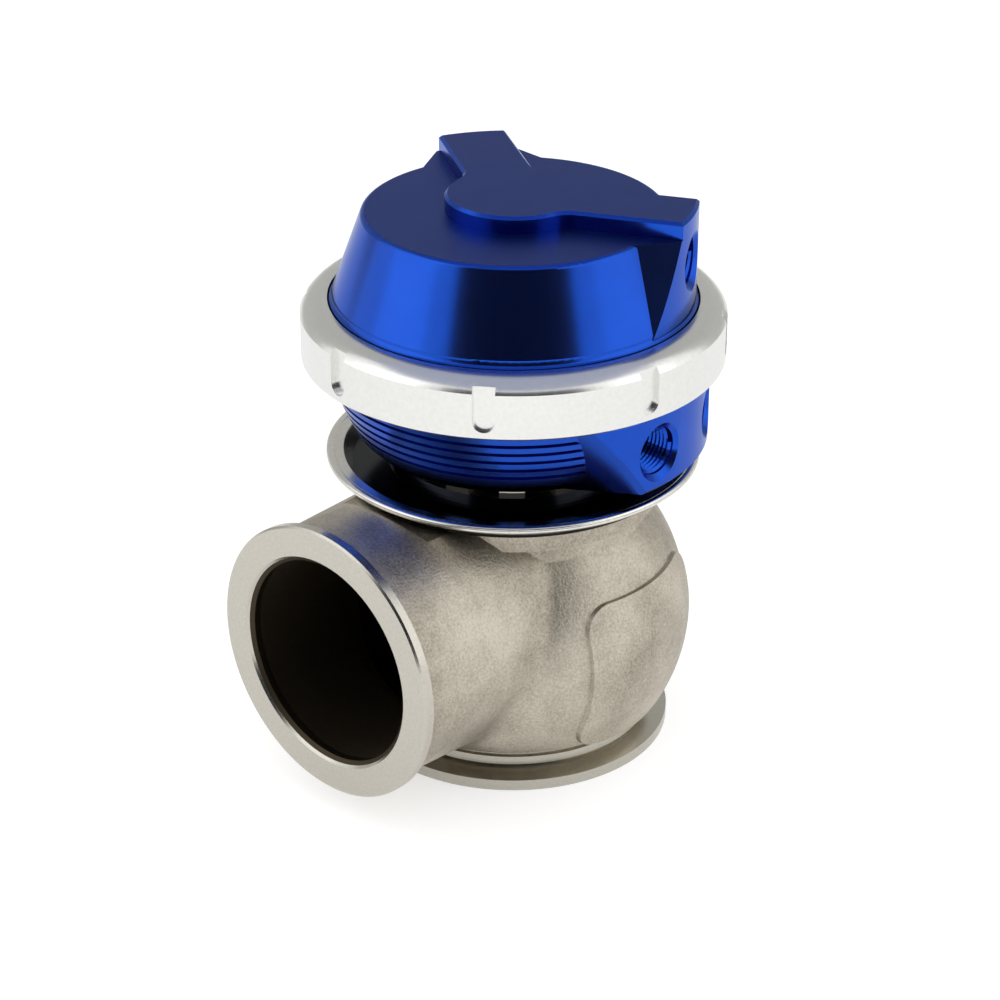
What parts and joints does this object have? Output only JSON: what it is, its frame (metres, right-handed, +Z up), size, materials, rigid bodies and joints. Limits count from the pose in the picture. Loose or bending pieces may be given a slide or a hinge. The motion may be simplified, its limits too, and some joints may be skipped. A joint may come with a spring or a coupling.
{
  "type": "turbo wastegate",
  "caption": "External exhaust wastegate: V-band cast body, poppet valve with seat and guide, heat shield, finned diaphragm actuator, screw-on collar and ported cap.",
  "frame": {"origin": "centre of the inlet's bottom face, on the valve's axis", "axes": "+Z up along the valve's stem, from the inlet towards the cap; the outlet points along -Y"},
  "size_m": [0.084, 0.0956, 0.1157],
  "materials": {
    "cast_stainless": "rough cast, bead blasted",
    "machined_stainless": "machined",
    "polished_stainless": "polished",
    "valve_steel": "ground",
    "bronze": "machined",
    "graphite": "matte",
    "gasket_board": "matte fibre",
    "screw_steel": "satin",
    "spring_steel": "shot peened",
    "blue_anodised": "glossy blue anodised",
    "clear_aluminium": "clear anodised",
    "silicone": "matte",
    "black_polymer": "matte"
  },
  "bodies": {
    "housing": {"valve_body": "cast_stainless", "valve_seat": "machined_stainless", "guide_bush": "bronze", "stem_seal": "graphite", "seal_retainer": "machined_stainless", "shield_gasket": "gasket_board", "heat_shield": "polished_stainless", "standoff_ring": "machined_stainless", "mounting_screws": "screw_steel", "lower_housing": "blue_anodised", "actuator_seal": "silicone", "diaphragm": "silicone"},
    "valve_group": {"valve": "valve_steel", "diaphragm_clamp": "clear_aluminium", "piston": "clear_aluminium", "piston_washer": "screw_steel", "piston_nut": "screw_steel"},
    "cap_group": {"cap": "blue_anodised", "spring_seat": "screw_steel", "outer_spring": "spring_steel", "middle_spring": "spring_steel", "inner_spring": "spring_steel"},
    "slip_ring_body": {"slip_ring": "black_polymer"},
    "collar_body": {"locking_collar": "clear_aluminium"}
  },
  "joints": [
    {"name": "valve_lift", "type": "slide", "parent": "housing", "child": "valve_group", "axis": [0, 0, 1], "range_m": [0, 0.011], "stiffness_N_per_m": 9000, "springref_m": -0.004, "deforming": ["outer_spring", "middle_spring", "inner_spring", "diaphragm"]},
    {"name": "cap_clock", "type": "hinge", "parent": "housing", "child": "cap_group", "pos_m": [0, 0, 0.0893], "axis": [0, 0, 1], "continuous": true},
    {"name": "collar_rise", "type": "slide", "parent": "housing", "child": "slip_ring_body", "axis": [0, 0, 1], "range_m": [0, 0.00605]},
    {"name": "collar_turn", "type": "hinge", "parent": "slip_ring_body", "child": "collar_body", "pos_m": [0, 0, 0.0918], "axis": [0, 0, 1], "range_deg": [0, 1440]}
  ],
  "couplings": [
    {"joint": "collar_rise", "follows": "collar_turn", "m_per_rad": 0.00023873}
  ]
}
